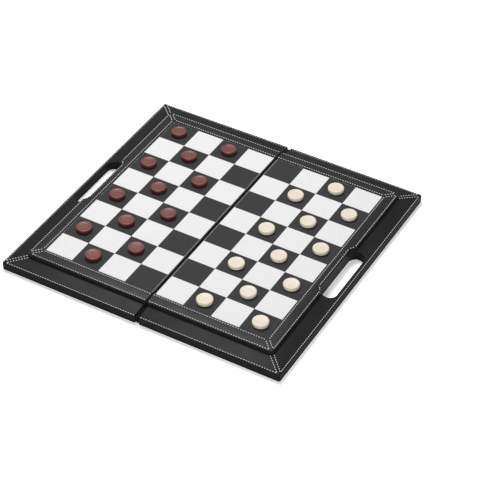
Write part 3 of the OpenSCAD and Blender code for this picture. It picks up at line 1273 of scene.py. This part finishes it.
@dataclass
class Needlework:
    """Rows of long stitches, laid on the leather along straight runs."""

    sizes: CaseSizes
    pitch: float = 4.35 * MM
    dash: float = 2.6 * MM
    thread: float = 1.25 * MM
    flats: int = 6
    stand: float = 0.36            # the share of the thread that stands out of the leather
    straight: float = 0.6          # the share of a stitch's length that lies straight
    taper: float = 0.55            # the share of the thread that is left at a stitch's ends
    plunge: float = 0.55           # how deep these go, as a share of the thread
    spare_room: float = 0.2        # the share of a pitch that a run may be short of for one more stitch
    from_edge: float = 2.0 * MM
    from_field: float = 3.3 * MM
    from_seam: float = 2.7 * MM
    from_foot: float = 0.3 * MM
    from_fold: float = 0.4 * MM
    from_ledge_end: float = 1.2 * MM
    feel_from: float = 0.02        # the share of a run that lies before its first feeling of the leather
    drop: float = 0.1              # how far above the frame's table the leather is felt from

    def stitch(self) -> Piece:
        """Makes a fat thread whose ends dip into the leather.

        Returns:
            One stitch along X, with its middle at the origin.
        """
        bar = round_bar("stitch", (0, 0, 0), self.thread / 2, self.dash, self.flats, Axis.X)
        for sign in (-1, 1):
            open_up(bar, whole=True)
            bpy.ops.mesh.bisect(plane_co=(sign * self.straight / 2 * self.dash, 0, 0), plane_no=(1, 0, 0))
            close_up()
        for sign in (-1, 1):
            end = sign * self.dash / 2
            pick_faces(bar, lambda c, n, end=end: abs(c.x - end) < HAIR and abs(n.x) > SQUARE_ON)
            bpy.ops.transform.resize(value=(1, self.taper, self.taper), center_override=(end, 0, 0))
            bpy.ops.transform.translate(value=(0, 0, -self.plunge * self.thread))
            close_up()
        return bar

    def run(self, stitch: Piece, start: Vector, end: Vector, up: Vector) -> Piece | None:
        """A straight run of stitches between two points on the leather.

        Args:
            stitch: The stitch to repeat.
            start: Where the run starts.
            end: Where it ends.
            up: The leather's normal there.

        Returns:
            The run, or None where it has no room for a stitch.
        """
        length = (end - start).length
        count = int((length + self.pitch - self.dash) / self.pitch + self.spare_room)
        if count < 1:
            return None
        row = copy_of(stitch, "row")
        take_up(row)
        array = row.modifiers.new("row", "ARRAY")
        array.count = count
        array.use_relative_offset = False
        array.use_constant_offset = True
        array.constant_offset_displace = (self.pitch, 0, 0)
        bpy.ops.object.modifier_apply(modifier=array.name)
        along = (end - start).normalized()
        across = up.cross(along).normalized()
        lift = along.cross(across)
        spare = length - (count - 1) * self.pitch
        first = start + along * spare / 2 + lift * (self.stand - 0.5) * self.thread * 0.5
        turn = Matrix((along, across, lift)).transposed()
        row.matrix_world = Matrix.Translation(first) @ turn.to_4x4()
        fix_in_place(row)
        return row

    def lay(self, stitch: Piece, leather: Piece, start: Spot, end: Spot) -> Piece | None:
        """Drops a straight run onto the leather and sews it there.

        Args:
            stitch: The stitch to repeat.
            leather: The piece that the stitches lie on.
            start: Where the run starts, seen from above.
            end: Where it ends.

        Returns:
            The run, or None where it has no leather under it or no room.
        """
        a, b = Vector((*start, 0)), Vector((*end, 0))
        gap = (b - a).normalized() * (self.pitch - self.dash) / 2
        a, b = a + gap, b - gap
        ground = []
        for share in (self.feel_from, 0.5, 1 - self.feel_from):
            above = a.lerp(b, share) + Vector((0, 0, self.drop))
            hit, where, normal, _ = leather.ray_cast(above, Vector((0, 0, -1)))
            if not hit:
                log.warning("no leather under a stitch of %s at %s", leather.name, tuple(above))
                return None
            ground.append((where, normal))
        whole = (ground[2][0] - ground[0][0]) / (1 - 2 * self.feel_from)
        first = ground[0][0] - whole * self.feel_from
        return self.run(stitch, first, first + whole, ground[1][1])

    def sew(self, name: str, leather: Piece, line: list[Spot]) -> Piece:
        """Sews rows onto a piece of leather.

        Args:
            name: The new piece's name.
            leather: The piece that the stitches lie on.
            line: The points from one to the next of which a row runs, seen from above.

        Returns:
            All the stitches as one piece.
        """
        stitch = self.stitch()
        runs = [self.lay(stitch, leather, a, b) for a, b in zip(line, line[1:])]
        throw_away(stitch)
        return joined(name, [run for run in runs if run is not None])

    def corner(self, inner: Spot, depth: float, on_side: bool) -> Spot:
        """Where a row at a depth into a mitred strip meets the row along the mitre.

        Args:
            inner: The mitre's inner corner, with Y as a distance towards the front.
            depth: How far out from the strip's inner edge the row lies.
            on_side: True for the strip along the handle side, False for the front one.

        Returns:
            X and Y, with Y negative, towards the front.
        """
        off = self.from_seam * math.sqrt(2)
        x, y = inner[0] + depth, inner[1] + depth
        return (x, off - y) if on_side else (x - off, -y)

    def front_row(self, inner: Spot, width: float, inner_row: float | None, start: float) -> list[Spot]:
        """The stitching on a front strip: along its edges and along its mitre.

        Args:
            inner: The mitre's inner corner, with Y as a distance towards the front.
            width: The strip's width.
            inner_row: How far from the strip's inner edge a row runs, or None for no such row.
            start: How far from the fold the rows start.

        Returns:
            The line to sew along.
        """
        far = self.corner(inner, width - self.from_edge, on_side=False)
        near = self.corner(inner, self.from_foot if inner_row is None else inner_row, on_side=False)
        return [(start, far[1]), far, near] + ([] if inner_row is None else [(start, near[1])])

    def side_row(self, inner: Spot, width: float, inner_row: float | None) -> list[Spot]:
        """The stitching on the handle side's strip: along its edges and along both mitres.

        Args:
            inner: The front mitre's inner corner, with Y as a distance towards the front.
            width: The strip's width.
            inner_row: How far from the strip's inner edge a row runs, or None for no such row. A strip with
                one has the slot's bay in its outer edge, and its outer row goes round that.

        Returns:
            The line to sew along.
        """
        s = self.sizes
        far = self.corner(inner, width - self.from_edge, on_side=True)
        near = self.corner(inner, self.from_foot if inner_row is None else inner_row, on_side=True)
        line = [near, far]
        if inner_row is not None:
            long = s.slot_length / 2 + self.from_edge * s.bay_slack
            straight = long - s.notch_run
            back = s.slot_in - self.from_edge
            line += [(far[0], -long), (back, -straight), (back, straight), (far[0], long)]
        line += [(far[0], -far[1]), (near[0], -near[1])]
        return line if inner_row is None else line + [near]


# ------------------------------------------------------------------------------------------ sub-assemblies


@dataclass
class Half:
    """One half of the case, dressed."""

    side: Side
    sizes: CaseSizes
    ledge_leather: float = 0.45 * MM
    border_leather: float = 0.6 * MM
    sheet_leather: float = 0.8 * MM
    thread_edge: float = math.radians(70)

    def own(self, form: Piece, part: str, skin: bool = True) -> Piece:
        """Makes this half's own copy of one of the right half's forms.

        Args:
            form: The form, on +X.
            part: The part's name.
            skin: True for an open skin.

        Returns:
            The copy, as its mirror image on the left.
        """
        name = self.side.name(f"{part}_made")
        if self.side is Side.LEFT:
            return mirrored(form, name, Axis.X, skin=skin)
        return copy_of(form, name)

    def settle(self, piece: Piece, finish: Finish, node: str | None = None) -> None:
        """Dresses a piece, makes it ride with this half and hides the frame's node that it stands for.

        Args:
            piece: The piece.
            finish: What it is dressed in.
            node: That node's name in each half.
        """
        dress(piece, finish)
        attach(piece, self.side.body)
        if node:
            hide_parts(self.side.name(node))
        report(piece)

    def cover(self, part: str, form: Piece, thickness: float, finish: Finish) -> Piece:
        """Makes a leather piece from an open skin.

        Args:
            part: The part's name.
            form: Its skin, on +X.
            thickness: How thick the leather is.
            finish: What it is dressed in.

        Returns:
            The leather.
        """
        piece = self.own(form, part)
        thicken(piece, thickness)
        smooth(piece)
        self.settle(piece, finish, part)
        return piece

    def build(self, forms: dict[str, Piece], tiles: Piece, needle: Needlework) -> None:
        """Makes every piece of this half.

        Args:
            forms: The right half's forms by the names of the parts.
            tiles: The light squares for this half, drawn on +X.
            needle: What sews the rows of stitches.
        """
        for part in ("front_rail", "back_rail", "handle_rail", "spine_rail"):
            rail = self.own(forms[part], part, skin=False)
            smooth(rail)
            self.settle(rail, Finish.RAIL, part)
        covers = {}
        for kind, thickness, finish in (("ledge", self.ledge_leather, Finish.LEDGE),
                                        ("border", self.border_leather, Finish.BORDER)):
            for place in ("front", "back", "side"):
                part = f"{place}_{kind}"
                covers[part] = self.cover(part, forms[part], thickness, finish)
        self.cover("playing_sheet", forms["playing_sheet"], self.sheet_leather, Finish.DARK_SQUARES)
        squares = self.own(tiles, "light_squares", skin=False)
        self.settle(squares, Finish.LIGHT_SQUARES, "light_squares")
        self.stitch_up(covers, needle)
        for part, finish in (("panel_board", Finish.BOARD), ("backgammon_field", Finish.LINING),
                             ("light_points", Finish.LIGHT_POINTS), ("dark_points", Finish.DARK_POINTS),
                             ("magnets", Finish.MAGNET)):
            dress(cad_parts[self.side.name(part)], finish)

    def stitch_up(self, covers: dict[str, Piece], needle: Needlework) -> None:
        """Sews the rows along the ledges and the border strips.

        Args:
            covers: This half's leather pieces by the names of the parts.
            needle: What sews the rows.
        """
        s = self.sizes
        kinds = {
            "ledge": ((s.step_x, s.step_y), s.ledge_w, None, s.ledge_end + needle.from_ledge_end),
            "border": ((s.field_x, s.field_y), s.border_w, needle.from_field,
                       s.border_end + needle.from_fold),
        }
        outwards = -1 if self.side is Side.LEFT else 1
        for kind, (corner, width, inner_row, start) in kinds.items():
            front = needle.front_row(corner, width, inner_row, start)
            side = needle.side_row(corner, width, inner_row)
            for place, line, turn in (("front", front, 1), ("back", front, -1), ("side", side, 1)):
                part = f"{place}_{kind}"
                placed = [(outwards * x, turn * y) for x, y in line]
                rows = needle.sew(self.side.name(f"{part}_stitching"), covers[part], placed)
                smooth(rows, self.thread_edge)
                self.settle(rows, Finish.THREAD)


@dataclass
class Hinge:
    """The strip of leather that joins the two halves along the bottom of the fold."""

    sizes: CaseSizes
    thickness: float = MM
    top: float = 17.5 * MM
    fold_share: float = 0.98       # the fold's rounding, as a share of half the strip's width
    fold_steps: int = 8

    def build(self) -> None:
        """Makes the folded strip between the two halves."""
        s = self.sizes
        x, y, low = s.flange_x, s.flange_y, s.fold_low
        strip = block("hinge_leather_strip", (-x, -y, low), (x, y, self.top))
        round_over(strip, lambda c, n: c.z < low + HAIR and abs(n[1].x) > SQUARE_ON, self.fold_share * x,
                   self.fold_steps)
        for sign in (-1, 1):
            saw(strip, (0, sign * s.step_y, s.border_foot - MM), (0, sign * s.fall, 1), capped=False)
        strip_off(strip, lambda c, n: n.z > SQUARE_ON or abs(n.y) > SQUARE_ON)
        thicken(strip, self.thickness)
        smooth(strip)
        dress(strip, Finish.HINGE)
        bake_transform(strip)
        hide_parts("spine_hinge")
        report(strip)


@dataclass
class Draughts:
    """A set of turned wooden draughts of one colour."""

    colour: str
    finish: Finish
    # the finish of the upright sides: on the brown set a darker copy of the wood as painted shade, on the
    # cream set the plain wood
    side_shade_finish: Finish
    dish: float
    count: int = 12
    edge_round: float = 2.1 * MM
    rim: float = 1.1 * MM
    sides: int = 64
    seat_gap: float = 0.02 * MM
    foot_ring: float = 3 * MM
    edge_below: float = 0.45       # a normal's share along Z, below which a face takes the side finish, which is painted shade on the brown set
    sharp_from: float = math.radians(40)
    seed: int = 7

    def turned(self, radius: float, height: float) -> Piece:
        """Turns one draught: rounded edges, a rim and a dished middle.

        Args:
            radius: Its radius.
            height: Its height.

        Returns:
            The draught, standing on the origin.
        """
        piece = round_bar(f"{self.colour}_blank", (0, 0, height / 2), radius, height, self.sides)
        round_over(piece, lambda c, n: not is_post(n), self.edge_round, steps=6)
        pick_faces(piece, lambda c, n: n.z > SQUARE_ON and c.z > height - HAIR)
        bpy.ops.mesh.inset(thickness=self.rim, depth=0)
        for width, share in ((0.5 * MM, 0.32), (0.8 * MM, 0.40), (1.6 * MM, 0.22), (3.0 * MM, 0.06)):
            bpy.ops.mesh.inset(thickness=width, depth=-share * self.dish)
        bpy.ops.mesh.poke()
        close_up()
        pick_faces(piece, lambda c, n: n.z < -SQUARE_ON and c.z < HAIR)
        bpy.ops.mesh.inset(thickness=self.foot_ring, depth=0)
        bpy.ops.mesh.poke()
        close_up()
        smooth(piece, self.sharp_from)
        dress(piece, self.finish)
        # The upright sides take the second finish, which on the brown set is painted shade.
        piece.data.materials.append(self.side_shade_finish.material())
        pick_faces(piece, lambda c, n: abs(n.z) < self.edge_below)
        piece.active_material_index = 1
        bpy.ops.object.material_slot_assign()
        close_up()
        return piece

    def build(self) -> None:
        """Turns one draught and puts a copy on each of the set's places."""
        low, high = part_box(f"{self.colour}_draught_01")
        blank = self.turned((high[0] - low[0]) / 2, high[2] - low[2] - self.seat_gap)
        chance = random.Random(self.seed)
        for k in range(1, self.count + 1):
            node = f"{self.colour}_draught_{k:02d}"
            low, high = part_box(node)
            piece = copy_of(blank, f"{node}_turned")
            piece.rotation_euler.z = chance.uniform(0, math.tau)
            piece.location = ((low[0] + high[0]) / 2, (low[1] + high[1]) / 2, low[2] + self.seat_gap)
            fix_in_place(piece)
            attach(piece, node)
            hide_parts(node)
            report(piece)
        throw_away(blank)


# -------------------------------------------------------------------------------------------- the studio


@dataclass(frozen=True)
class Softbox:
    """A square soft light that looks at a point."""

    name: str
    place: tuple[float, float, float]
    aim: tuple[float, float, float]
    size: float
    power: float

    def hang(self) -> None:
        """Puts the light up."""
        data = bpy.data.lights.new(self.name, "AREA")
        data.shape = "SQUARE"
        data.size = self.size
        data.energy = self.power
        lamp = bpy.data.objects.new(self.name, data)
        bpy.context.scene.collection.objects.link(lamp)
        lamp.location = self.place
        lamp.rotation_euler = (Vector(self.aim) - Vector(self.place)).to_track_quat("-Z", "Y").to_euler()


@dataclass
class Studio:
    """Pale floor, white surroundings, soft lights and the camera."""

    lens: float = 129.768          # for a sensor of sensor_width, both in millimetres
    sensor_width: float = 36.0
    camera_place: tuple[float, float, float] = (1.07110, -1.87020, 1.83286)
    camera_right: tuple[float, float, float] = (0.87140, 0.49020, 0.01898)
    camera_up: tuple[float, float, float] = (-0.33333, 0.56327, 0.75605)
    camera_back: tuple[float, float, float] = (0.35992, -0.66515, 0.65424)
    floor_size: float = 8.0
    floor_grey: float = 0.9
    floor_clearness: float = 0.15
    ambient: float = 0.22
    lights: tuple[Softbox, ...] = (
        Softbox("overhead_softbox", (-0.68, 0.72, 1.97), (0.0, 0.0, 0.0), 0.8, 36.0),
        Softbox("front_softbox", (0.85, -2.02, 1.22), (0.0, 0.0, 0.0), 1.4, 29.0),
    )

    def build(self) -> None:
        """Sets the studio up."""
        for light in self.lights:
            light.hang()
        self.lay_floor()
        self.surround()
        self.set_camera()
        bpy.context.scene.view_settings.view_transform = "Standard"

    def lay_floor(self) -> None:
        """Lays a floor that shows only the shadows on it.

        The right half swings down past the floor, so the floor turns over with it and its back is clear.
        """
        put_all_down()
        bpy.ops.mesh.primitive_plane_add(size=self.floor_size)
        floor = bpy.context.object
        floor.name = "floor"
        recipe = Recipe("studio_floor")
        clear = recipe.add("ShaderNodeBsdfTransparent").outputs["BSDF"]
        back = recipe.add("ShaderNodeNewGeometry").outputs["Backfacing"]
        clearness = recipe.greater(back, self.floor_clearness)
        recipe.join(recipe.either(clearness, recipe.shader.outputs["BSDF"], clear), recipe.surface)
        grey = (self.floor_grey, self.floor_grey, self.floor_grey, 1)
        floor.data.materials.append(recipe.finish(Base_Color=grey, Roughness=0.9))
        floor.is_shadow_catcher = True
        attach(floor, Side.RIGHT.body)

    def surround(self) -> None:
        """Makes the surroundings white to the eye and in reflections, and a plain grey light otherwise."""
        world = bpy.data.worlds.new("studio_world")
        bpy.context.scene.world = world
        nodes = NodeBench(world)
        white = (1, 1, 1, 1)
        seen, light = (nodes.add("ShaderNodeBackground", Color=white, Strength=strength).outputs["Background"]
                       for strength in (1.0, self.ambient))
        path = nodes.add("ShaderNodeLightPath").outputs
        shows = path["Is Camera Ray"]
        for name in ("Is Glossy Ray", "Is Transmission Ray"):
            shows = nodes.greater(shows, path[name])
        nodes.join(nodes.either(shows, light, seen), nodes.add("ShaderNodeOutputWorld").inputs["Surface"])

    def set_camera(self) -> None:
        """Puts the camera where the photograph was taken from."""
        data = bpy.data.cameras.new("camera")
        data.lens = self.lens
        data.sensor_width = self.sensor_width
        camera = bpy.data.objects.new("camera", data)
        bpy.context.scene.collection.objects.link(camera)
        axes = (self.camera_right, self.camera_up, self.camera_back)
        turn = Matrix([[axis[row] for axis in axes] for row in range(3)])
        camera.matrix_world = Matrix.Translation(self.camera_place) @ turn.to_4x4()
        bpy.context.scene.camera = camera


# -------------------------------------------------------------------------------------------------- main


def main() -> None:
    """Builds the case, its draughts and the studio."""
    logging.basicConfig(level=logging.INFO, format="%(message)s")
    sizes = CaseSizes.from_frame()
    shapes = HalfForms(sizes)
    forms = {**shapes.rails(), **shapes.ledge_skins(), **shapes.border_skins()}
    forms["playing_sheet"] = shapes.sheet()
    needle = Needlework(sizes)
    for side, odd in ((Side.LEFT, 0), (Side.RIGHT, 1)):
        tiles = shapes.light_squares(odd)
        Half(side, sizes).build(forms, tiles, needle)
        throw_away(tiles)
    throw_away(*forms.values())
    Hinge(sizes).build()
    Draughts("brown", Finish.BROWN_WOOD, Finish.BROWN_EDGE, dish=0.55 * MM).build()
    Draughts("cream", Finish.CREAM_WOOD, Finish.CREAM_WOOD, dish=0.3 * MM, seed=11).build()
    Studio().build()


if __name__ == "__main__":
    main()
